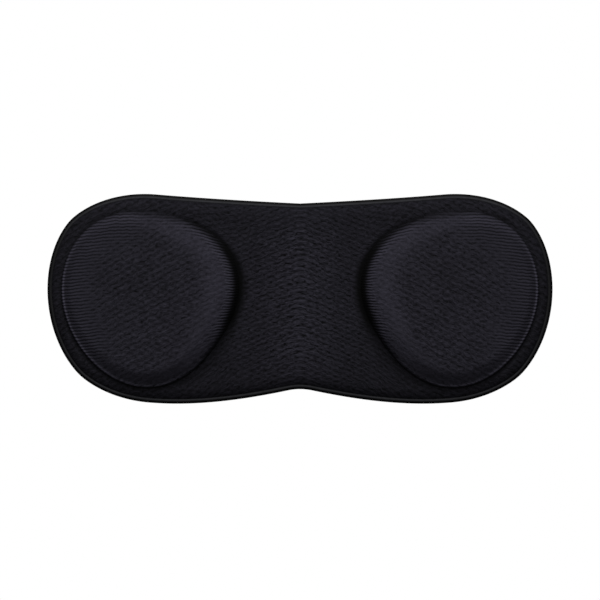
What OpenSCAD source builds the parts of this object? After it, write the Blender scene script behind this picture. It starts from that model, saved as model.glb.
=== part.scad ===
// Moulded two-cup eye pad, upright as worn.
// +Z is up, +X is the wearer's left and the cups face -Y.
// The origin is on the flat back face, in the middle of the nose bridge.
// The pad is a pressed laminate: face fabric, glue film, foam, glue film and lining,
// closed all round by a thin pressed rim. It folds at the two ends of the bridge.

/* [Outline] */
// Distance from the middle of the pad to the middle of each end lobe
lobe_x = 58.4; // [52:0.1:66]
// Long half-axis of an end lobe, which points up and outwards
lobe_long = 44.9; // [42:0.1:48]
// Short half-axis of an end lobe
lobe_short = 41.8; // [39:0.1:44]
// How far the long half-axis is turned up from the horizontal, in degrees
lobe_turn = 43.5; // [30:0.5:60]
// Roundness of an end lobe: 2 is an ellipse, less is leaner between its axes
lobe_power = 1.77; // [1.7:0.01:2.2]
// Height of the upper edge at the middle of the bridge
waist_top = 37.6; // [34:0.1:40]
// Slope of the upper edge beside the middle
waist_slope = 0.05; // [0:0.01:0.08]
// Height of the lower edge at the nose notch, below the origin
notch_drop = 35.9; // [30:0.1:38]
// Radius at the top of the nose notch
notch_r = 23; // [15:1:40]
// Slope of the lower edge where it leaves the notch
notch_slope = 0.21; // [0.1:0.01:0.3]

/* [Cups] */
// Distance from the middle of the pad to the middle of each cup
cup_x = 59.9; // [57:0.1:62]
// Height of the middle of each cup above the origin
cup_z = 0.8; // [-1:0.1:2]
// Mean radius of a cup's foot
cup_r = 34.8; // [30:0.1:36]
// How far the three soft corners of the foot stand out
cup_corner = 1.5; // [0:0.1:2]
// Direction of the first soft corner, in degrees up from outwards
cup_corner_turn = 38; // [0:1:60]
// How far the foot stands out again in four places, so that its three sides aren't alike
cup_square = 0.4; // [0:0.1:1]
// Direction of the first of those places, in degrees up from outwards
cup_square_turn = 73; // [45:1:90]
// Height of a cup's edge above the flange, taken half way round
cup_edge = 6; // [5:0.25:8]
// How much higher the edge is towards the nose, and lower towards the ear
cup_lean = 3.5; // [0:0.25:4]
// How much the middle of a cup is crowned
cup_bulge = 4; // [2:0.25:6]
// Width of the rounded shoulder at no height
shoulder_w = 3; // [2:0.25:4]
// Extra shoulder width for each millimetre of edge height
shoulder_per_h = 0.7; // [0.5:0.05:0.9]
// Squareness of the shoulder's section: 2 is an ellipse
shoulder_power = 2.2; // [2:0.1:3]

/* [Layers] */
// Thickness of the face fabric
face_t = 0.6; // [0.4:0.1:0.8]
// Thickness of each glue film
glue_t = 0.2; // [0.2:0.05:0.3]
// Thickness of the foam
foam_t = 2.4; // [2:0.1:3]
// Thickness of the lining fabric
lining_t = 0.6; // [0.4:0.1:0.8]

/* [Rim] */
// Width of the pressed rim
rim_w = 1.8; // [0.8:0.1:2]
// Thickness of the pressed rim
rim_t = 1.4; // [1:0.1:2]

/* [Fold] */
// Distance from the middle of the pad to each fold line
fold_x = 14; // [12:0.5:16]
// Room left beside each fold line, so that the laminate can turn
fold_room = 2.3; // [2.2:0.1:3]

/* [Hidden] */

pad_t = face_t + 2 * glue_t + foam_t + lining_t;

// Depth of each layer's front and back below the front surface
face_depth = [0, face_t];
face_glue_depth = [face_t, face_t + glue_t];
foam_depth = [face_t + glue_t, pad_t - lining_t - glue_t];
lining_glue_depth = [pad_t - lining_t - glue_t, pad_t - lining_t];
lining_depth = [pad_t - lining_t, pad_t];

bridge_half = fold_x - fold_room;

// Directions from a lobe's middle at which it meets the upper and the lower edge
lobe_top = 92;
lobe_bottom = -88;

// Steps along each stretch of the outline and along a fold line
lobe_steps = 34;
edge_steps = 10;
notch_steps = 3;
fold_steps = 8;

// Rings of a cup, from its middle to the start of the shoulder, as shares of that radius
CROWN_RINGS = [0.35, 0.7, 1];
// Rings across the shoulder, each [share of the shoulder's width in from the foot, sideways share
// of a layer's depth by which it moves in]
SHOULDER_RINGS = [[0.35, 0.5], [0.12, 0.7], [0, 0.8]];

face_colour = "#1b1a20";
glue_colour = "#c9c4b4";
foam_colour = "#3b3a3f";
lining_colour = "#222127";
rim_colour = "#0f0f12";

// ---- Outline ----

// Radius of an end lobe in a direction from its own middle
function lobe_reach(turn) =
    let (along = abs(cos(turn - lobe_turn)) / lobe_long, across = abs(sin(turn - lobe_turn)) / lobe_short)
    pow(pow(along, lobe_power) + pow(across, lobe_power), -1 / lobe_power);

function lobe_point(turn) = [lobe_x, 0] + lobe_reach(turn) * [cos(turn), sin(turn)];

// Direction of travel along a lobe, clockwise
function lobe_heading(turn) =
    let (step = lobe_point(turn - 0.5) - lobe_point(turn + 0.5))
    step / norm(step);

// Cubic curve from p to q that leaves along u and arrives along v
function curve(p, u, q, v, s) =
    let (span = norm(q - p))
    (2 * pow(s, 3) - 3 * pow(s, 2) + 1) * p + (3 * pow(s, 2) - 2 * pow(s, 3)) * q
    + span * (pow(s, 3) - 2 * pow(s, 2) + s) * u + span * (pow(s, 3) - pow(s, 2)) * v;

function slope_heading(dx, slope) = [dx, slope] / norm([dx, slope]);

notch_half = notch_r * notch_slope / norm([1, notch_slope]);
notch_foot = [notch_half, -notch_drop - notch_r + sqrt(pow(notch_r, 2) - pow(notch_half, 2))];

function upper_edge(s) =
    curve([0, waist_top], slope_heading(1, waist_slope), lobe_point(lobe_top), lobe_heading(lobe_top), s);

function lower_edge(s) =
    curve(lobe_point(lobe_bottom), lobe_heading(lobe_bottom), notch_foot, slope_heading(-1, notch_slope), s);

// The left half of the outline, clockwise from the middle of the upper edge to the notch
half_outline = concat(
    [for (i = [0:edge_steps - 1]) upper_edge(i / edge_steps)],
    [for (i = [0:lobe_steps]) lobe_point(lobe_top + (lobe_bottom - lobe_top) * i / lobe_steps)],
    [for (i = [1:edge_steps]) lower_edge(i / edge_steps)],
    [for (i = [notch_steps - 1:-1:0])
        let (x = notch_half * i / notch_steps)
        [x, -notch_drop - notch_r + sqrt(pow(notch_r, 2) - pow(x, 2))]]
);

// Each point of an open line moved to its right-hand side by d
function inset(line, d) =
    let (last = len(line) - 1)
    [for (i = [0:last])
        let (step = line[min(i + 1, last)] - line[max(i - 1, 0)])
        line[i] + d * [step[1], -step[0]] / norm(step)];

// Where the line from p to q crosses x
function at_x(p, q, x) = p + (q - p) * (x - p[0]) / (q[0] - p[0]);

// The points of a line with x from x0 to x1, and the points where it enters and leaves
function stretch(line, x0, x1) = concat(
    [for (i = [0:len(line) - 2])
        let (p = line[i], q = line[i + 1], limits = q[0] > p[0] ? [x0, x1] : [x1, x0])
        each concat(
            p[0] >= x0 && p[0] <= x1 ? [p] : [],
            [for (x = limits) if ((p[0] - x) * (q[0] - x) < 0) at_x(p, q, x)]
        )],
    [for (p = [line[len(line) - 1]]) if (p[0] >= x0 && p[0] <= x1) p]
);

function upper(line) = [for (p = line) if (p[1] > 0) p];
function lower(line) = [for (p = line) if (p[1] < 0) p];
function reversed(line) = [for (i = [len(line) - 1:-1:0]) line[i]];
function mirrored(line) = [for (p = reversed(line)) if (p[0] > 0) [-p[0], p[1]]];

// A stretch of the upper or lower edge, carried over to the other half
function across_top(line) = concat(mirrored(line), line);
function across_bottom(line) = concat(line, mirrored(line));

rim_outer = half_outline;
rim_inner = inset(half_outline, rim_w);
outermost = lobe_x + lobe_long;

// ---- Cups ----

// Radius of a cup's foot in a direction from the cup's middle
function foot_reach(turn) =
    cup_r + cup_corner * cos(3 * (turn - cup_corner_turn)) + cup_square * cos(4 * (turn - cup_square_turn));

// Height of a cup's edge over the flange in that direction
function edge_height(turn) = cup_edge - cup_lean * cos(turn);

function shoulder_width(turn) = shoulder_w + shoulder_per_h * edge_height(turn);

// Height of the crowned top over the flange, at a share of the foot's radius
function crown_height(turn, share) =
    cup_edge - cup_lean * share * cos(turn) + cup_bulge * (1 - pow(share, 2));

// Share of that height which the shoulder has reached, in from the foot
function shoulder_rise(share) = pow(1 - pow(1 - share, shoulder_power), 1 / shoulder_power);

function cup_point(turn, reach, height, depth) =
    [cup_x + reach * cos(turn), depth - pad_t - height, cup_z + reach * sin(turn)];

// The edge of a wing's layers: the rim's inner line beyond the fold, then the fold line
wing_curve = stretch(rim_inner, fold_x, outermost);
wing_edge = concat(
    wing_curve,
    [for (i = [1:fold_steps - 1])
        wing_curve[len(wing_curve) - 1] * (1 - i / fold_steps) + wing_curve[0] * i / fold_steps]
);
wing_turns = [for (p = wing_edge) atan2(p[1] - cup_z, p[0] - cup_x)];

function crown_ring(share, depth) = [
    for (turn = wing_turns)
        let (reach = share * (foot_reach(turn) - shoulder_width(turn)))
        cup_point(turn, reach, crown_height(turn, reach / foot_reach(turn)), depth)
];

function shoulder_ring(ring, depth) = [
    for (turn = wing_turns)
        let (
            foot = foot_reach(turn),
            reach = foot - ring[0] * shoulder_width(turn),
            height = crown_height(turn, reach / foot) * shoulder_rise(ring[0])
        )
        cup_point(turn, reach - ring[1] * depth, height, depth)
];

// One face of a layer: the cup's middle, its rings, and the edge on the flat flange
function wing_surface(depth) = concat(
    [cup_point(0, 0, crown_height(0, 0), depth)],
    [for (share = CROWN_RINGS) each crown_ring(share, depth)],
    [for (ring = SHOULDER_RINGS) each shoulder_ring(ring, depth)],
    [for (p = wing_edge) [p[0], depth - pad_t, p[1]]]
);

ring_points = len(wing_edge);
ring_count = len(CROWN_RINGS) + len(SHOULDER_RINGS) + 1;
surface_points = 1 + ring_points * ring_count;

function ring_index(ring, i) = 1 + ring * ring_points + i % ring_points;

// Triangles of one surface, seen from the front
surface_faces = concat(
    [for (i = [0:ring_points - 1]) [0, ring_index(0, i), ring_index(0, i + 1)]],
    [for (ring = [0:ring_count - 2], i = [0:ring_points - 1]) each [
        [ring_index(ring, i), ring_index(ring + 1, i), ring_index(ring + 1, i + 1)],
        [ring_index(ring, i), ring_index(ring + 1, i + 1), ring_index(ring, i + 1)]
    ]]
);

// Triangles of the wall round a layer's edge
wall_faces = [
    for (i = [0:ring_points - 1])
        let (p = ring_index(ring_count - 1, i), q = ring_index(ring_count - 1, i + 1))
        each [[p, p + surface_points, q + surface_points], [p, q + surface_points, q]]
];

// A wing's layer between two depths below the front surface
module wing_layer(depths) {
    polyhedron(
        points = concat(wing_surface(depths[0]), wing_surface(depths[1])),
        faces = concat(
            surface_faces,
            [for (f = surface_faces) [f[2] + surface_points, f[1] + surface_points, f[0] + surface_points]],
            wall_faces
        )
    );
}

// ---- Flat pieces ----

// An outline drawn in X and Z, thick from one depth below the front surface to another
module flat_piece(outline, depths) {
    translate([0, depths[1] - pad_t, 0])
        rotate([90, 0, 0])
            linear_extrude(height = depths[1] - depths[0])
                polygon(outline);
}

// A strip of rim between two matching stretches of its outer and inner line
module rim_strip(outer, inner) {
    flat_piece(concat(outer, reversed(inner)), [pad_t - rim_t, pad_t]);
}

module bridge_layer(depths) {
    line = stretch(rim_inner, 0, bridge_half);
    flat_piece(concat(across_top(upper(line)), across_bottom(lower(line))), depths);
}

module bridge_rim_strips() {
    outer = stretch(rim_outer, 0, bridge_half);
    inner = stretch(rim_inner, 0, bridge_half);
    rim_strip(across_top(upper(outer)), across_top(upper(inner)));
    rim_strip(across_bottom(lower(outer)), across_bottom(lower(inner)));
}

module wing_rim() {
    rim_strip(stretch(rim_outer, fold_x, outermost), stretch(rim_inner, fold_x, outermost));
}

// The laminate between the bridge and a wing, which bends as the pad folds
module fold_strip() {
    flat_piece(stretch(rim_inner, bridge_half, fold_x), [0, pad_t]);
    flat_piece(stretch(rim_outer, bridge_half, fold_x), [pad_t - rim_t, pad_t]);
}

// ---- Pieces ----

module bridge_face_fabric() color(face_colour) bridge_layer(face_depth);
module bridge_face_glue() color(glue_colour) bridge_layer(face_glue_depth);
module bridge_foam() color(foam_colour) bridge_layer(foam_depth);
module bridge_lining_glue() color(glue_colour) bridge_layer(lining_glue_depth);
module bridge_lining_fabric() color(lining_colour) bridge_layer(lining_depth);
module bridge_rim() color(rim_colour) bridge_rim_strips();
module left_fold_strip() color(face_colour) fold_strip();
module right_fold_strip() mirror([1, 0, 0]) left_fold_strip();

module left_face_fabric() color(face_colour) wing_layer(face_depth);
module left_face_glue() color(glue_colour) wing_layer(face_glue_depth);
module left_foam() color(foam_colour) wing_layer(foam_depth);
module left_lining_glue() color(glue_colour) wing_layer(lining_glue_depth);
module left_lining_fabric() color(lining_colour) wing_layer(lining_depth);
module left_rim() color(rim_colour) wing_rim();

module right_face_fabric() mirror([1, 0, 0]) left_face_fabric();
module right_face_glue() mirror([1, 0, 0]) left_face_glue();
module right_foam() mirror([1, 0, 0]) left_foam();
module right_lining_glue() mirror([1, 0, 0]) left_lining_glue();
module right_lining_fabric() mirror([1, 0, 0]) left_lining_fabric();
module right_rim() mirror([1, 0, 0]) left_rim();

bridge_face_fabric();
bridge_face_glue();
bridge_foam();
bridge_lining_glue();
bridge_lining_fabric();
bridge_rim();
left_fold_strip();
right_fold_strip();
left_face_fabric();
left_face_glue();
left_foam();
left_lining_glue();
left_lining_fabric();
left_rim();
right_face_fabric();
right_face_glue();
right_foam();
right_lining_glue();
right_lining_fabric();
right_rim();
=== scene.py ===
import math

import bpy
import numpy as np
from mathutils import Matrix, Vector
from mathutils.kdtree import KDTree


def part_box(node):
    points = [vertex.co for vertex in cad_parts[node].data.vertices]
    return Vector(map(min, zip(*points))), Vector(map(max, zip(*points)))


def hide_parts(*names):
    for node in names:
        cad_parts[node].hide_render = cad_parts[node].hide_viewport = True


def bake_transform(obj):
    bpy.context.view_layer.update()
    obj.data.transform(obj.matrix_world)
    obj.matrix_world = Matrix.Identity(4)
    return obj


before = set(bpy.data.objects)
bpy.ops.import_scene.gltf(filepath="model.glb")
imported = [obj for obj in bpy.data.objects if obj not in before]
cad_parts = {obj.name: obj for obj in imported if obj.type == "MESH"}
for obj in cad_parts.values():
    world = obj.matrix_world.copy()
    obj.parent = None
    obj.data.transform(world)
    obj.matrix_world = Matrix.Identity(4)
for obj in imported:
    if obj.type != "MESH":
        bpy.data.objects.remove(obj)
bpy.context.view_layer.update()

# Moulded two-cup eye pad, upright as worn: +Z up, +X the wearer's left, cups facing -Y.
# The pad is drawn as a left and a right half that meet on the middle line of the bridge.
# The shapes below are in millimetres and radians, with y = 0 on the flat back.
MM = 0.001

# ---- Driving sizes, the same as the part's ----

# The outline: a rounded lobe over each eye, a waist between them above and a nose notch below
LOBE_X, LOBE_LONG, LOBE_SHORT = 58.4, 44.9, 41.8
LOBE_TURN, LOBE_POWER = math.radians(43.5), 1.77
LOBE_TOP, LOBE_BOTTOM = math.radians(92), math.radians(-88)
WAIST_TOP, WAIST_SLOPE = 37.6, 0.05
NOTCH_DROP, NOTCH_R, NOTCH_SLOPE = 35.9, 23.0, 0.21
# The cups: a foot with soft corners, an edge that leans down to the ear, and a round shoulder
CUP_X, CUP_Z, CUP_R = 59.9, 0.8, 34.8
CUP_CORNER, CUP_CORNER_TURN = 1.5, math.radians(38)
CUP_SQUARE, CUP_SQUARE_TURN = 0.4, math.radians(73)
CUP_EDGE, CUP_LEAN, CUP_BULGE = 6.0, 3.5, 4.0
SHOULDER_W, SHOULDER_PER_H, SHOULDER_POWER = 3.0, 0.7, 2.2
SHOULDER_LOW_EAR = 1.3  # added to the shoulder's width at the lower ear side of a cup
FOOT_SHIFT = 0.8  # how far a layer's foot moves in for each millimetre of its depth
RIM_W = 1.8

# Thickness of the laminate, from the frame
PAD_T = -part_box("bridge_face_fabric")[0].y / MM


def layer_depths(node):
    """Shares of the laminate's thickness at which a layer begins and ends, from the front."""
    low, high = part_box(node)
    return 1 + low.y / MM / PAD_T, 1 + high.y / MM / PAD_T


# ---- Outline ----


def unit(x, z):
    return np.array([x, z]) / math.hypot(x, z)


def lobe_point(turn):
    along = np.abs(np.cos(turn - LOBE_TURN)) / LOBE_LONG
    across = np.abs(np.sin(turn - LOBE_TURN)) / LOBE_SHORT
    reach = (along**LOBE_POWER + across**LOBE_POWER) ** (-1 / LOBE_POWER)
    return np.stack([LOBE_X + reach * np.cos(turn), reach * np.sin(turn)], axis=-1)


def lobe_heading(turn, nudge=0.01):
    """Direction of the lobe's edge, going down the ear side."""
    return unit(*(lobe_point(turn - nudge) - lobe_point(turn + nudge)))


def edge_curve(p, u, q, v, steps=200):
    """Cubic curve from p to q that leaves along u and arrives along v."""
    s = np.linspace(0, 1, steps)[:, None]
    span = np.linalg.norm(q - p)
    return (
        (2 * s**3 - 3 * s**2 + 1) * p
        + (3 * s**2 - 2 * s**3) * q
        + span * (s**3 - 2 * s**2 + s) * u
        + span * (s**3 - s**2) * v
    )


def evenly(line, count):
    """The same line with count points at even distances."""
    step = np.linalg.norm(np.diff(line, axis=0), axis=1)
    along = np.concatenate([[0], np.cumsum(step)])
    at = np.linspace(0, along[-1], count)
    return np.stack([np.interp(at, along, line[:, k]) for k in range(2)], axis=1)


def half_outline():
    """The left half of the outline, from the middle of the upper edge to the nose notch."""
    notch_half = NOTCH_R * NOTCH_SLOPE / math.hypot(1, NOTCH_SLOPE)
    notch_x = np.linspace(notch_half, 0, 60)
    notch = np.stack(
        [notch_x, -NOTCH_DROP - NOTCH_R + np.sqrt(NOTCH_R**2 - notch_x**2)], axis=1
    )
    upper = edge_curve(
        np.array([0, WAIST_TOP]),
        unit(1, WAIST_SLOPE),
        lobe_point(LOBE_TOP),
        lobe_heading(LOBE_TOP),
    )
    lobe = lobe_point(np.linspace(LOBE_TOP, LOBE_BOTTOM, 2000))
    lower = edge_curve(
        lobe_point(LOBE_BOTTOM), lobe_heading(LOBE_BOTTOM), notch[0], unit(-1, NOTCH_SLOPE)
    )
    return np.concatenate([upper[:-1], lobe[:-1], lower[:-1], notch])


OUTLINE = evenly(half_outline(), 6000)


def inward_from(line):
    """Unit vectors square to the half's outline that point into the pad."""
    step = np.gradient(line, axis=0)
    step[0], step[-1] = (1, 0), (-1, 0)
    step /= np.linalg.norm(step, axis=1)[:, None]
    return np.stack([step[:, 1], -step[:, 0]], axis=1)


def rim_distance(x, z):
    """How far each point is from the outline."""
    tree = KDTree(len(OUTLINE))
    for i, (px, pz) in enumerate(OUTLINE):
        tree.insert((px, 0, pz), i)
    tree.balance()
    return np.array([tree.find((px, 0, pz))[2] for px, pz in zip(x, z)])


# ---- Moulded shape ----


def smooth(t):
    t = np.clip(t, 0, 1)
    return t * t * (3 - 2 * t)


def swell(distance, width):
    """A rounded swelling, 1 high in its middle, that has run out at about twice its width."""
    return np.exp(-((distance / width) ** 2))


def round_over(t, power):
    """Rises from 0 to 1 as a quarter of a rounded edge does."""
    return (1 - (1 - np.clip(t, 0, 1)) ** power) ** (1 / power)


def foot_reach(turn):
    """From a cup's middle to its foot, a circle with three soft corners."""
    corners = CUP_CORNER * np.cos(3 * (turn - CUP_CORNER_TURN))
    return CUP_R + corners + CUP_SQUARE * np.cos(4 * (turn - CUP_SQUARE_TURN))


def edge_height(turn):
    """Height of the cup's edge over the flange: low at the ear and high at the nose."""
    return CUP_EDGE - CUP_LEAN * np.cos(turn)


def lower_side(turn):
    """Rises from 0 to 1 over the lower side of a cup."""
    return smooth((-np.sin(turn) - 0.2) / 0.6)


def shoulder_width(turn):
    """The shoulder is a little wider at the lower ear side, where the cup runs out low."""
    low_ear = lower_side(turn) * smooth((np.cos(turn) + 0.3) / 0.6)
    return SHOULDER_W + SHOULDER_PER_H * edge_height(turn) + SHOULDER_LOW_EAR * low_ear


# Round a cup's foot, in degrees up from outwards: how deep the crease beside it is pressed and
# how dark it is painted as shade, how far that painted shadow runs out over the flange, how
# softly the shoulder runs down to it, and how far the knit stands up beside it in a lip, with
# painted sheen
FOOT = [
    # turn, crease and its painted shade, runout of the painted shadow, soft, lip
    (0, 0.40, 1.6, 0.50, 1.3),
    (15, 0.30, 1.6, 0.45, 1.1),
    (30, 0.30, 1.6, 0.40, 0.6),
    (45, 0.35, 1.6, 0.30, 0.3),
    (60, 0.40, 1.6, 0.20, 0.1),
    (75, 0.10, 1.6, 0.35, 0.0),
    (90, 0.00, 1.6, 0.75, 0.0),
    (105, 0.20, 1.6, 0.65, 0.0),
    (120, 0.60, 1.6, 0.40, 0.0),
    (140, 0.80, 2.0, 0.20, 0.0),
    (150, 1.00, 1.9, 0.00, 0.0),
    (165, 1.00, 3.7, 0.00, 0.0),
    (180, 1.00, 4.4, 0.00, 0.0),
    (195, 0.98, 4.2, 0.00, 0.0),
    (210, 0.62, 6.0, 0.05, 0.0),
    (225, 0.44, 8.0, 0.15, 0.0),
    (240, 0.40, 6.0, 0.35, 0.3),
    (255, 0.50, 2.0, 0.50, 0.6),
    (280, 0.55, 1.6, 0.50, 1.0),
    (310, 0.55, 1.6, 0.50, 1.0),
    (335, 0.50, 1.6, 0.50, 1.0),
]
CREASE_DEPTH, CREASE_W = 0.9, 1.3
CREASE_IN = 0.5  # width of the crease on the cup's side of the foot
LIP_H, LIP_IN, LIP_W = 0.45, 0.9, 0.45  # height, place in from the foot, and half width
GROOVE_AT = 1.9  # the face is pressed down this far in from the cut edge, beside the rim
GROOVE_T = 1.3  # thickness of the laminate there
ROLL_W, ROLL_POWER = 3.8, 1.5  # the laminate rolls down to the rim over this width
PILLOW_DROP, PILLOW_W = 0.35, 9.0  # the flange falls this much towards the rim
RIDGE, RIDGE_W = 0.25, 7.0  # low ridge down the middle of the bridge
WAVE = 0.07  # the cups' crowns are uneven by about this much
PULL_IN = 2.6  # how far over the flange the layers still shift in beside a foot
BACK_GROOVE, BACK_GROOVE_W = 0.25, 2.2  # shallow groove on the back beside the rim

# How much lighter the knit is drawn, from 0 to about 1.5, where the press stretches it and as
# painted sheen on the shoulders, along the lip and along the top edge, and width of the
# lightened band
MIDDLE_STRETCH, NOSE_STRETCH, TOP_EDGE_SHEEN = 0.5, 0.17, 0.16
CROWN_STRETCH, SHOULDER_STRETCH_AND_SHEEN, LIP_SHEEN = 0.46, 0.45, 1.5
EAR_BAND, NOSE_BAND = 2.5, 15.0


def round_foot(turn):
    """The table's crease, runout, soft and lip at each turn."""
    turns, *columns = zip(*FOOT)
    return [np.interp(np.degrees(turn) % 360, turns, column, period=360) for column in columns]


def mould(x, z):
    """Everything the press gives a place on the pad: heights, shift and finish.

    The finish is four marks on the knit: how far it is stretched, with painted sheen and painted
    light and shade mixed in; how even its ribs are; how hard it is pressed flat, with painted
    shade and shadow in the creases; and how much its texture stands out.
    """
    turn = np.arctan2(z - CUP_Z, x - CUP_X)
    reach = np.hypot(z - CUP_Z, x - CUP_X)
    foot = foot_reach(turn)
    inside = foot - reach
    share = np.clip(inside / shoulder_width(turn), 0, 1)
    nose = (1 - np.cos(turn)) / 2
    rim = rim_distance(x, z)
    crease_and_shade, shadow_runout, soft, lip = round_foot(turn)
    deep = smooth((crease_and_shade - 0.35) / 0.6)
    low = lower_side(turn)
    ridge = lip * swell(inside - LIP_IN, LIP_W)

    lean = CUP_LEAN * reach / foot * np.cos(turn)
    crown = CUP_EDGE - lean + CUP_BULGE * (1 - (reach / foot) ** 2)
    rise = (1 - soft) * round_over(share, SHOULDER_POWER) + soft * smooth(share * 1.05)
    height = np.where(inside > 0, crown * rise, 0)
    height += LIP_H * ridge * smooth(inside / 0.4 + 0.5)
    ripple = np.sin(x * 0.55 + 0.7) * np.sin(z * 0.47) + np.sin(x * 0.23 - z * 0.31)
    height += WAVE * share * ripple

    crease_w = np.where(inside > 0, CREASE_IN, CREASE_W)
    crease = CREASE_DEPTH * crease_and_shade * swell(inside, crease_w)
    roll = round_over((rim - GROOVE_AT) / ROLL_W, ROLL_POWER)
    thick = GROOVE_T + (PAD_T - GROOVE_T) * roll
    thick -= PILLOW_DROP * (1 - smooth(rim / PILLOW_W)) * roll
    thick += (RIDGE * swell(x, RIDGE_W) - crease) * roll

    outside = np.clip(-inside, 0, None)
    pull = swell(outside, PULL_IN) * smooth((rim - GROOVE_AT) / 3)
    shift = FOOT_SHIFT * np.where(inside > 0, (1 - share) ** 1.2, pull)

    # The knit is stretched over the shoulder, widely towards the nose, and in a line at the ear,
    # and is drawn lighter there: partly for the stretch and partly as painted sheen where the
    # shoulder turns
    band = EAR_BAND + NOSE_BAND * nose**1.3
    over = smooth((band - inside) / (0.5 * band)) * smooth((share - 0.25 * soft) / 0.25)
    over *= smooth(nose * 6)
    low_nose = low * smooth((nose - 0.55) / 0.3)
    slack_edge = 1 - smooth((np.abs(z) - 18) / 26)
    # Painted shade: the flange on the lower side of a cup is drawn a little darker
    flange = (MIDDLE_STRETCH * swell(x, 13) + NOSE_STRETCH * nose) * slack_edge - 0.05 * low
    cup = CROWN_STRETCH + 0.12 * smooth((reach - 6) / 16)
    # Painted light and shade: the lower side of a cup is drawn lighter and its upper side
    # darker, to even out the light from above
    cup += 0.1 * low - 0.1 * np.clip(np.sin(turn), 0, 1)
    cup += (SHOULDER_STRETCH_AND_SHEEN + 0.3 * nose) * over * (1 - low + 0.45 * low_nose)
    # Painted light: a lighter band inside the foot on the lower side, most towards the nose,
    # partly for the stretch there
    cup += (0.12 * low + 0.33 * low_nose) * swell(inside - 4, 3)
    # Painted sheen: the flange about 3 mm in from the top edge is drawn lighter, as if it caught
    # the light from above
    flange += TOP_EDGE_SHEEN * swell(rim - 3, 2) * smooth((z - 30) / 6)
    stretch = flange + (cup - flange) * smooth(inside / (0.3 + 4.5 * soft**2))
    # Painted sheen along the lip beside the foot
    stretch += LIP_SHEEN * ridge

    # Ribs are straight and even beside the ear and over the shoulder, and broken elsewhere
    ear = smooth((19 - inside) / 15) * smooth((np.cos(turn) + 0.3 * np.sin(turn) - 0.1) / 0.5)
    shoulder = smooth((7 - inside) / 5) * smooth((np.sin(turn) + 0.75) / 0.4) * (1 - 0.6 * soft)
    even = np.where(inside > 0, np.maximum(ear, shoulder), 0)

    # The crease beside the foot is pressed flat, and painted dark as shade up the wall and as a
    # shadow out over the flange
    wall_shade = 1 - smooth((share - 0.1 * deep) / (0.06 + 0.33 * deep))
    shadow_beside = 1 - smooth((outside - 0.5 * deep) / (shadow_runout - 0.5 * deep))
    press_and_shade = crease_and_shade * np.where(inside > 0, wall_shade, shadow_beside)
    # Painted shade in the groove beside the rim
    press_and_shade = np.maximum(press_and_shade, 0.1 * (1 - smooth((rim - GROOVE_AT + 0.1) / 1.0)))

    # The knit's texture stands out on the bridge and is drawn out flat over the nose side
    bite = 1 + 0.35 * swell(x, 24) * (1 - smooth((np.abs(z) - 22) / 12))
    bite += (0.2 + 0.7 * nose**2) * even
    bite -= 0.5 * (1 - even) * over * (inside > 0)
    return {
        "turn": turn,
        "height": height,
        "thick": thick,
        "recess": BACK_GROOVE * (1 - smooth((rim - RIM_W) / BACK_GROOVE_W)),
        "shift": shift,
        "stretch": stretch,
        "even": even,
        "press_and_shade": press_and_shade,
        "bite": bite,
    }


# ---- Knit ----

TURN_R = 2.0  # the courses turn over the middle line with about this radius
GATHER = 0.2  # share by which the press gathers the courses across the bridge
EAR_SLOPE = 0.09  # how steeply the courses run down beside the ear
EAR_FROM = 12  # from this far outside a cup's middle


def knit_rows(x, z):
    """Place on the knit, in millimetres along a course and across the courses.

    The third value sets the two halves apart, so that their fibres don't lie alike.
    """
    along = np.sqrt(x**2 + TURN_R**2)
    across = z * (1 + GATHER * smooth((CUP_X - 14 - x) / 24))
    across += EAR_SLOPE * np.clip(x - CUP_X - EAR_FROM, 0, None)
    return np.stack([along, across, 0.5 * x], axis=1)


# ---- Meshes ----

RAYS = 384  # lines from a cup's middle to the edge of its half
MIDDLE_RAYS = 80  # how many of them end on the middle line
RINGS = (14, 18, 16, 9)  # rings over the crown, the shoulder, the flange and the roll
ROLL_SPAN = 3.0  # width of the flange's edge that the last rings share out
EVEN_OUT = 24  # passes that even out that width between neighbouring rays


def half_border(inset):
    """The edge of a half's layers: inside the rim all round, and then up the middle line."""
    line = evenly(OUTLINE, RAYS - MIDDLE_RAYS)
    curve = line + inset * inward_from(line)
    rise = np.linspace(curve[-1, 1], curve[0, 1], MIDDLE_RAYS + 2)[1:-1]
    return np.concatenate([curve, np.stack([np.zeros(MIDDLE_RAYS), rise], axis=1)])


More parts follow.
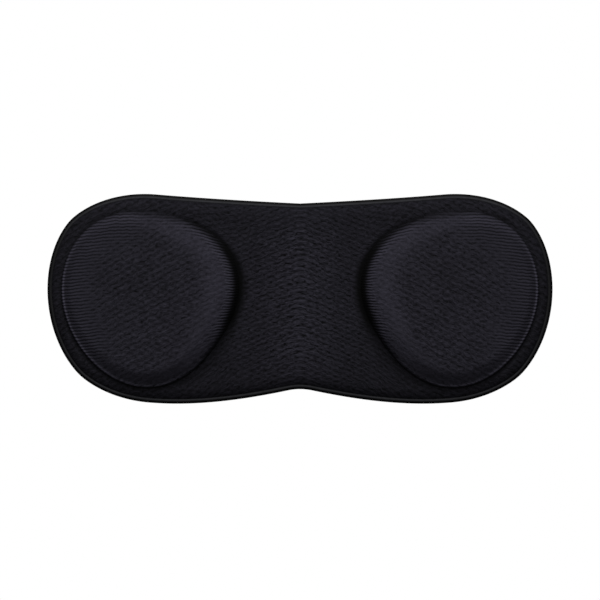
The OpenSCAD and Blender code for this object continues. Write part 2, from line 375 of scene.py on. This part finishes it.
def grid(inset, thin):
    """Rings of points from a cup's middle out to the edge of its half, and each ring's ray step.

    thin is 1 to keep every ray and 2 to keep every second one.
    """
    border = half_border(inset)[::thin]
    spokes = border - (CUP_X, CUP_Z)
    turn = np.arctan2(spokes[:, 1], spokes[:, 0])
    out = np.stack([np.cos(turn), np.sin(turn)], axis=1)
    full = np.linalg.norm(spokes, axis=1)
    foot, width = foot_reach(turn), shoulder_width(turn)
    # The roll beside the rim is measured square to the border, so a slanting ray takes longer.
    along = np.roll(border, -1, axis=0) - np.roll(border, 1, axis=0)
    along /= np.linalg.norm(along, axis=1)[:, None]
    square = np.abs(along[:, 0] * out[:, 1] - along[:, 1] * out[:, 0])
    roll = ROLL_SPAN / np.clip(square, 0.5, 1)
    for _ in range(EVEN_OUT // thin):
        roll = (np.roll(roll, 1) + roll + np.roll(roll, -1)) / 3
    roll_start = full - roll

    crown, shoulder, flange, edge = [np.arange(1, n + 1) / n for n in RINGS]
    reaches = [(foot - width) * k for k in crown]
    reaches += [foot - width * (1 - k) ** 1.7 for k in shoulder]
    reaches += [foot + (roll_start - foot) * k**1.5 for k in flange]
    reaches += [full - (full - roll_start) * (1 - k) ** 1.5 for k in edge]
    rings, steps = [], []
    for reach in reaches:
        # Towards the middle a ring keeps every second, fourth or eighth point
        step = 1
        while step < 8 and len(turn) * 0.5 / step > 2 * math.pi * reach.mean() / thin:
            step *= 2
        rings.append((np.array([CUP_X, CUP_Z]) + out * reach[:, None])[::step])
        steps.append(step)
    return rings, steps


def ring_faces(steps, rays):
    """Faces between the rings, with the middle point first; a ring may have fewer points."""
    faces, first = [], 1
    inner = None
    for step in steps:
        number = first + np.arange(rays) // step
        if inner is None:
            faces += [(0, number[i], number[(i + step) % rays]) for i in range(0, rays, step)]
        else:
            before, wide = inner
            for i in range(0, rays, wide):
                j = (i + wide) % rays
                if wide == step:
                    faces.append((before[i], number[i], number[j], before[j]))
                else:
                    m = (i + step) % rays
                    faces.append((before[i], number[i], number[m]))
                    faces.append((before[i], number[m], before[j]))
                    faces.append((before[j], number[m], number[j]))
        inner = (number, step)
        first += rays // step
    return faces, inner[0]


def solid(name, points, faces, side, finish, border):
    """A closed mesh with its finish written on its points; the right half is mirrored.

    The edges between the border's points are crisp, and the rest is smooth.
    """
    points = np.array(points, float)
    if side == "right":
        points = points * (-1, 1, 1)
        faces = [tuple(reversed(f)) for f in faces]
        finish["knit"] = finish["knit"] * (1, 1, -1)  # the knit is not cut as a mirror image
    mesh = bpy.data.meshes.new(name)
    mesh.from_pydata((points * MM).tolist(), [], [tuple(int(i) for i in f) for f in faces])
    mesh.validate()
    mesh.shade_smooth()
    on_border = set(border)
    for edge in mesh.edges:
        edge.use_edge_sharp = on_border.issuperset(edge.vertices)
    for key, values in finish.items():
        if key == "knit":
            data = mesh.attributes.new(key, "FLOAT_VECTOR", "POINT").data
            data.foreach_set("vector", np.asarray(values, np.float32).ravel())
        else:
            data = mesh.attributes.new(key, "FLOAT", "POINT").data
            data.foreach_set("value", np.asarray(values, np.float32))
    made = bpy.data.objects.new(name, mesh)
    bpy.context.scene.collection.objects.link(made)
    return made


def layer_face(x, z, pad, share):
    """Where each place on the pad lies at a share of the laminate's thickness from the front."""
    inward = pad["shift"] * share * PAD_T
    forward = pad["recess"] + (pad["thick"] - pad["recess"]) * (1 - share) + pad["height"]
    x = x - inward * np.cos(pad["turn"])
    z = z - inward * np.sin(pad["turn"])
    return np.stack([x, -forward, z], axis=1)


def layer(name, side, node, inset, thin):
    """One layer of the laminate on one half, as a closed thin solid."""
    rings, steps = grid(inset, thin)
    flat = np.concatenate([[[CUP_X, CUP_Z]], *rings])
    x, z = flat[:, 0], flat[:, 1]
    pad = mould(x, z)
    x = np.where(np.abs(x) < 1e-6, 0, x)  # the last points lie on the middle line exactly
    near, far = layer_depths(node)
    front, back = layer_face(x, z, pad, near), layer_face(x, z, pad, far)
    faces, border = ring_faces(steps, RAYS // thin)
    n = len(flat)
    faces = [tuple(reversed(f)) for f in faces]
    closed = faces + [tuple(i + n for i in reversed(f)) for f in faces]
    closed += [(a, b, b + n, a + n) for a, b in zip(border, np.roll(border, 1))]
    points = np.concatenate([front, back])
    rows = points[:, [0, 2, 1]]
    if name.endswith("face_cover"):
        rows = np.tile(knit_rows(x, z), (2, 1))
    finish = {
        "knit": rows,
        **{mark: np.tile(pad[mark], 2) for mark in ("stretch", "even", "press_and_shade", "bite")},
    }
    ends = [int(i) for i in border] + [int(i) + n for i in border]
    return solid(name, points, closed, side, finish, ends)


# Section of the pressed rim: how far in from the cut edge, how far in front of the back face,
# how much painted highlight it gets as glaze, and how much it is crushed flat, with painted
# shade
RIM_SECTION = [
    (2.25, 0.25, 0.0, 0.2),
    (2.20, 0.85, 0.0, 0.2),
    (2.00, 1.22, 0.3, 0.1),
    (1.70, 1.47, 0.9, 0.0),
    (1.42, 1.56, 1.0, 0.0),
    (1.14, 1.50, 0.7, 0.2),
    (0.90, 1.34, 0.3, 0.7),
    (0.66, 1.12, 0.0, 1.0),
    (0.34, 0.84, 0.0, 1.0),
    (0.08, 0.56, 0.0, 1.0),
    (0.02, 0.30, 0.0, 1.0),
    (0.12, 0.08, 0.0, 0.8),
    (0.40, 0.00, 0.2, 0.5),
    (1.20, 0.00, 0.6, 0.2),
    (1.80, 0.08, 0.3, 0.5),
]
RIM_POINTS = 420


def rim(name, side):
    """The hot-pressed edge of one half, as a closed bead along the outline."""
    line = evenly(OUTLINE, RIM_POINTS)
    inward = inward_from(line)
    points, m = [], len(RIM_SECTION)
    for inset, front, _, _ in RIM_SECTION:
        row = line + inset * inward
        points.append(np.stack([row[:, 0], np.full(len(row), -front), row[:, 1]], axis=1))
    points = np.stack(points, axis=1).reshape(-1, 3)
    faces = []
    for i in range(RIM_POINTS - 1):
        for k in range(m):
            a, b = i * m + k, i * m + (k + 1) % m
            faces.append((a, b, b + m, a + m))
    faces.append(tuple(range(m - 1, -1, -1)))
    faces.append(tuple(range((RIM_POINTS - 1) * m, RIM_POINTS * m)))
    # Painted highlight along the rim, strongest where the rim runs along the courses: in full on
    # the upper edge and at less than half on the lower one, as light from above falls, and drawn
    # darker where the rim runs up and down
    rim_sheen = inward[:, 1] ** 2 * np.where(inward[:, 1] < 0, 1, 0.45)
    rim_sheen = np.repeat(rim_sheen - 0.5 * (1 - inward[:, 1] ** 2), m)
    finish = {
        "knit": knit_rows(points[:, 0], points[:, 2]),
        "stretch": rim_sheen * np.tile([row[2] for row in RIM_SECTION], RIM_POINTS),
        "even": np.zeros(len(points)),
        "press_and_shade": np.tile([row[3] for row in RIM_SECTION], RIM_POINTS),
        "bite": np.ones(len(points)),
    }
    ends = [*range(m), *range((RIM_POINTS - 1) * m, RIM_POINTS * m)]
    return solid(name, points, faces, side, finish, ends)


# ---- Finishes ----


def linear(hex_colour):
    """An sRGB hex colour as linear red, green, blue and alpha."""
    parts = [int(hex_colour[i : i + 2], 16) / 255 for i in (1, 3, 5)]
    return [c / 12.92 if c <= 0.04045 else ((c + 0.055) / 1.055) ** 2.4 for c in parts] + [1]


def add(tree, kind, inputs=(), give=0, **settings):
    """Adds a shader node and gives one of its outputs. An input is a value or such an output."""
    made = tree.nodes.new("ShaderNode" + kind)
    for key, value in settings.items():
        setattr(made, key, value)
    for key, value in inputs.items() if isinstance(inputs, dict) else enumerate(inputs):
        if isinstance(value, bpy.types.NodeSocket):
            tree.links.new(value, made.inputs[key])
        else:
            made.inputs[key].default_value = value
    return made.outputs[give] if made.outputs else None


def new_tree(name):
    made = bpy.data.materials.new(name)
    made.use_nodes = True
    made.node_tree.nodes.clear()
    return made, made.node_tree


COURSE = 1.27  # height of a course of the face knit
FLOAT = 4.8  # from one float to the next along a course; the next course's lie between them
LEANING = 0.66  # share of the floats' strokes that lean down and outwards


def jersey(name, colour, relief_depth, gain, **surface):
    """Polyester jersey, circular knitted and heat moulded over foam.

    Its courses show as fine level ribs. Slack loops lean and break them up into short strokes,
    and where the press stretched the knit it is lighter, with whole ribs, and painted sheen
    lightens it more. Pressed hard, it is flat, and painted shade darkens it in the creases.
    """
    made, tree = new_tree(name)
    place = add(tree, "Attribute", give="Vector", attribute_name="knit")
    stretch = add(tree, "Attribute", give="Fac", attribute_name="stretch")
    even = add(tree, "Attribute", give="Fac", attribute_name="even")
    press_and_shade = add(tree, "Attribute", give="Fac", attribute_name="press_and_shade")
    bite = add(tree, "Attribute", give="Fac", attribute_name="bite")

    # Yarn never lies quite level, so the courses wander and the strokes vary in length
    drift = add(tree, "TexNoise", {"Vector": place, "Scale": 0.3, "Detail": 2.0}, give="Color")
    drift = add(tree, "VectorMath", (drift, (0.5, 0.5, 0.5)), operation="SUBTRACT")
    drift = add(tree, "VectorMath", (drift, (5.0, 1.1, 0)), operation="MULTIPLY")
    yarn = add(tree, "VectorMath", (place, drift), operation="ADD")
    along = add(tree, "SeparateXYZ", (yarn,), give="X")
    across = add(tree, "SeparateXYZ", (yarn,), give="Y")
    apart = add(tree, "SeparateXYZ", (yarn,), give="Z")
    turns = add(tree, "Math", (along, 2 * math.pi / FLOAT), operation="MULTIPLY")
    courses = add(tree, "Math", (across, math.pi / COURSE), operation="MULTIPLY")

    # Strokes that lie in a brick pattern: a wave that leans down and a weaker one that leans up
    down = add(tree, "Math", (turns, courses), operation="ADD")
    down = add(tree, "Math", (down,), operation="COSINE")
    up = add(tree, "Math", (turns, courses), operation="SUBTRACT")
    up = add(tree, "Math", (up,), operation="COSINE")
    up = add(tree, "Math", (up, 1 - LEANING), operation="MULTIPLY")
    strokes = add(tree, "Math", (down, LEANING, up), operation="MULTIPLY_ADD")
    strokes = add(tree, "Math", (strokes, 0.28, 0.5), operation="MULTIPLY_ADD")
    # Broken fibres between them lean the same way
    lean = add(tree, "Math", (along, 0.42, across), operation="MULTIPLY_ADD")
    lie = add(tree, "CombineXYZ", {"X": along, "Y": lean, "Z": apart})
    lie = add(tree, "VectorMath", (lie, (0.65, 1.8, 0.8)), operation="MULTIPLY")
    fleck = add(tree, "TexNoise", {"Vector": lie, "Scale": 1.0, "Detail": 1.0})
    slack = add(tree, "Math", (fleck, 1.8, -0.9), operation="MULTIPLY_ADD")
    slack = add(tree, "Math", (slack, strokes), operation="ADD")

    rib = add(tree, "Math", (courses,), operation="SINE")
    rib = add(tree, "Math", (rib,), operation="ABSOLUTE")
    weave = add(tree, "Mix", {0: even, 2: slack, 3: rib})
    weave = add(tree, "Math", (weave, 0.52), operation="SUBTRACT")
    weave = add(tree, "Math", (weave, bite, 0.52), operation="MULTIPLY_ADD")
    fuzz = add(tree, "TexNoise", {"Vector": place, "Scale": 2.2, "Detail": 3.0})
    cloud = add(tree, "TexNoise", {"Vector": place, "Scale": 0.09, "Detail": 2.0})

    # Painted crease shade: the press closes the gaps between even ribs first, so they darken
    # before the ribs themselves
    holding = add(tree, "Math", (rib, 2.0, -0.8), operation="MULTIPLY_ADD")
    holding = add(tree, "Math", (holding, even, 1.0), operation="MULTIPLY_ADD")
    crease_shade = add(tree, "Math", (press_and_shade, holding), operation="POWER")

    tone = add(tree, "Math", (weave, gain, 1 - 0.6 * gain), operation="MULTIPLY_ADD")
    # Lighter for the stretch and the painted sheen, darker for the painted crease shade
    for part, share, rest in (
        (stretch, 1.1, 0.75),
        (crease_shade, -0.97, 1.0),
        (cloud, 0.3, 0.85),
        (fuzz, 0.8, 0.6),
    ):
        part = add(tree, "Math", (part, share, rest), operation="MULTIPLY_ADD")
        tone = add(tree, "Math", (tone, part), operation="MULTIPLY")
    shade = add(tree, "VectorMath", {0: linear(colour)[:3], 3: tone}, operation="SCALE")

    relief = add(tree, "Math", (fuzz, 0.35, weave), operation="MULTIPLY_ADD")
    flat = add(tree, "Math", (press_and_shade, -0.7, 1.0), operation="MULTIPLY_ADD")
    relief = add(tree, "Math", (relief, flat), operation="MULTIPLY")
    bump = add(
        tree, "Bump", {"Strength": 1.0, "Distance": relief_depth * MM, "Height": relief}
    )
    shader = add(tree, "BsdfPrincipled", {"Base Color": shade, "Normal": bump, **surface})
    add(tree, "OutputMaterial", {"Surface": shader})
    return made


LINING_WALE, LINING_COURSE = 0.8, 0.6  # width of a wale and height of a course


def lining_jersey():
    """Fine polyester jersey, brushed on the face side: narrow upright wales and a matt nap."""
    made, tree = new_tree("polyester_jersey_brushed")
    place = add(tree, "Attribute", give="Vector", attribute_name="knit")
    nap = add(tree, "TexNoise", {"Vector": place, "Scale": 1.6, "Detail": 4.0})
    cloud = add(tree, "TexNoise", {"Vector": place, "Scale": 0.12, "Detail": 2.0})
    along = add(tree, "SeparateXYZ", (place,), give="X")
    across = add(tree, "SeparateXYZ", (place,), give="Y")
    # Loops are drawn 0.8 mm wide and 0.6 mm high, coarser than the real fine gauge, to show
    wale = add(tree, "Math", (nap, 0.5, along), operation="MULTIPLY_ADD")
    wale = add(tree, "Math", (wale, math.pi / LINING_WALE), operation="MULTIPLY")
    wale = add(tree, "Math", (wale,), operation="SINE")
    wale = add(tree, "Math", (wale,), operation="ABSOLUTE")
    loop = add(tree, "Math", (wale, 0.4, across), operation="MULTIPLY_ADD")
    loop = add(tree, "Math", (loop, 2 * math.pi / LINING_COURSE), operation="MULTIPLY")
    loop = add(tree, "Math", (loop,), operation="SINE")
    loop = add(tree, "Math", (loop, 0.2, wale), operation="MULTIPLY_ADD")
    relief = add(tree, "Math", (nap, 0.8, loop), operation="MULTIPLY_ADD")
    tone = add(tree, "Math", (relief, 0.6, 0.3), operation="MULTIPLY_ADD")
    light = add(tree, "Math", (cloud, 0.3, 0.85), operation="MULTIPLY_ADD")
    tone = add(tree, "Math", (tone, light), operation="MULTIPLY")
    shade = add(tree, "VectorMath", {0: linear("#232228")[:3], 3: tone}, operation="SCALE")
    bump = add(tree, "Bump", {"Strength": 1.0, "Distance": 0.18 * MM, "Height": relief})
    shader = add(
        tree,
        "BsdfPrincipled",
        {
            "Base Color": shade,
            "Normal": bump,
            "Roughness": 0.92,
            "IOR": 1.45,
            "Specular IOR Level": 0.12,
            "Sheen Weight": 0.05,
            "Sheen Roughness": 0.5,
        },
    )
    add(tree, "OutputMaterial", {"Surface": shader})
    return made


FOAM_PORE = 0.9


def polyurethane_foam():
    """Open-cell polyurethane foam, skived from a block and moulded: dull, with round pores."""
    made, tree = new_tree("polyurethane_foam_skived")
    place = add(tree, "Attribute", give="Vector", attribute_name="knit")
    pores = add(tree, "TexVoronoi", {"Vector": place, "Scale": 1 / FOAM_PORE})
    skin = add(tree, "TexNoise", {"Vector": place, "Scale": 0.4, "Detail": 3.0})
    tone = add(tree, "Math", (pores, -0.5, 1.2), operation="MULTIPLY_ADD")
    light = add(tree, "Math", (skin, 0.4, 0.8), operation="MULTIPLY_ADD")
    tone = add(tree, "Math", (tone, light), operation="MULTIPLY")
    shade = add(tree, "VectorMath", {0: linear("#3b3a3f")[:3], 3: tone}, operation="SCALE")
    bump = add(
        tree, "Bump", {"Strength": 1.0, "Distance": 0.2 * MM, "Height": pores}, invert=True
    )
    shader = add(
        tree,
        "BsdfPrincipled",
        {"Base Color": shade, "Normal": bump, "Roughness": 0.95, "Specular IOR Level": 0.2},
    )
    add(tree, "OutputMaterial", {"Surface": shader})
    return made


def hot_melt_film():
    """Hot-melt glue film, melted between two layers: milky, smooth and slightly lumpy."""
    made, tree = new_tree("hot_melt_glue_film")
    place = add(tree, "Attribute", give="Vector", attribute_name="knit")
    lumps = add(tree, "TexNoise", {"Vector": place, "Scale": 0.5, "Detail": 3.0})
    tone = add(tree, "Math", (lumps, 0.3, 0.85), operation="MULTIPLY_ADD")
    shade = add(tree, "VectorMath", {0: linear("#c9c4b4")[:3], 3: tone}, operation="SCALE")
    bump = add(tree, "Bump", {"Strength": 0.6, "Distance": 0.2 * MM, "Height": lumps})
    shader = add(
        tree,
        "BsdfPrincipled",
        {"Base Color": shade, "Normal": bump, "Roughness": 0.4, "IOR": 1.49},
    )
    add(tree, "OutputMaterial", {"Surface": shader})
    return made


def painted_board():
    """Matt white paint on a flat board."""
    made, tree = new_tree("matt_white_paint")
    shader = add(tree, "BsdfPrincipled", {"Base Color": linear("#f2f2f0"), "Roughness": 0.9})
    add(tree, "OutputMaterial", {"Surface": shader})
    return made


FINISHES = {
    "face": jersey(
        "polyester_jersey_moulded",
        "#1b1a20",
        0.2,
        1.2,
        **{"Roughness": 0.9, "IOR": 1.45, "Specular IOR Level": 0.12},
    ),
    "lining": lining_jersey(),
    "rim": jersey(
        "polyester_jersey_hot_pressed",
        "#1f1f22",
        0.05,
        0.3,
        **{"Roughness": 0.7, "IOR": 1.45, "Specular IOR Level": 0.2},
    ),
    "foam": polyurethane_foam(),
    "glue": hot_melt_film(),
}

# ---- Assembly ----

LAYERS = [
    # piece, node name, finish, slot, inset of its edge, thinning of its rays
    ("face_cover", "face_fabric", "face", "face_knit", 1.9, 1),
    ("face_glue_film", "face_glue", "glue", "glue_film", 2.0, 2),
    ("foam_core", "foam", "foam", "foam", 2.1, 2),
    ("lining_glue_film", "lining_glue", "glue", "glue_film", 2.0, 2),
    ("lining_cover", "lining_fabric", "lining", "lining_knit", 1.9, 1),
]


def settle(piece, finish, nodes):
    """Gives a half's piece its finish, hides the frame's parts that it stands for, and bakes its
    place into its mesh.
    """
    piece.data.materials.append(FINISHES[finish])
    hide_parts(*nodes)
    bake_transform(piece)
    return piece


for side in ("left", "right"):
    for piece, node, finish, slot, inset, thin in LAYERS:
        nodes = [f"{side}_{node}", f"bridge_{node}"]
        if piece == "face_cover":
            nodes.append(side + "_fold_strip")
        shape = layer(f"{side}_{piece}", side, "bridge_" + node, inset, thin)
        settle(shape, finish, nodes)
    edge = rim(side + "_pressed_rim", side)
    settle(edge, "rim", [side + "_rim", "bridge_rim"])

# ---- Stage, camera and light ----

scene = bpy.context.scene


def aim(thing, place, target=(0, 0, 0)):
    thing.location = place
    thing.rotation_euler = (Vector(target) - Vector(place)).to_track_quat("-Z", "Y").to_euler()
    scene.collection.objects.link(thing)
    return thing


def softbox(name, place, width, height, power):
    lamp = bpy.data.lights.new(name, "AREA")
    lamp.shape, lamp.size, lamp.size_y, lamp.energy = "RECTANGLE", width, height, power
    made = aim(bpy.data.objects.new(name, lamp), place)
    made.visible_camera = False
    return made


EYE_LEVEL = -0.0006
lens = bpy.data.cameras.new("camera")
lens.sensor_width, lens.lens = 36.0, 136.4
lens.clip_start, lens.clip_end = 0.01, 20
camera = bpy.data.objects.new("camera", lens)
scene.camera = aim(camera, (0, -0.9, EYE_LEVEL), (0, 0, EYE_LEVEL))

softbox("key_over_the_front", (0, -0.8, 0.95), 0.9, 0.5, 10.5)
softbox("fill_in_front", (0, -1.3, 0.1), 0.8, 0.8, 9.5)
behind = softbox("fill_behind", (0, 1.4, 0.35), 1.2, 0.8, 31.0)
behind.visible_glossy = False  # it lights the lining and leaves no glare along the folded edges

world = bpy.data.worlds.new("white_room")
scene.world = world
world.use_nodes = True
world.node_tree.nodes["Background"].inputs["Color"].default_value = (1, 1, 1, 1)
world.node_tree.nodes["Background"].inputs["Strength"].default_value = 1.0
for ray in ("diffuse", "glossy", "transmission", "scatter"):
    setattr(world.cycles_visibility, ray, False)
scene.view_settings.view_transform = "Standard"

FLOOR_R, FLOOR_Z, FLOOR_SIDES = 1.35, -0.3, 96
floor_turns = np.linspace(0, 2 * math.pi, FLOOR_SIDES, endpoint=False)
floor_edge = [(FLOOR_R * math.cos(t), FLOOR_R * math.sin(t), FLOOR_Z) for t in floor_turns]
floor_mesh = bpy.data.meshes.new("floor")
floor_mesh.from_pydata(floor_edge, [], [tuple(range(FLOOR_SIDES))])
floor = bpy.data.objects.new("floor", floor_mesh)
scene.collection.objects.link(floor)
floor_mesh.materials.append(painted_board())
floor.visible_diffuse = floor.visible_glossy = False
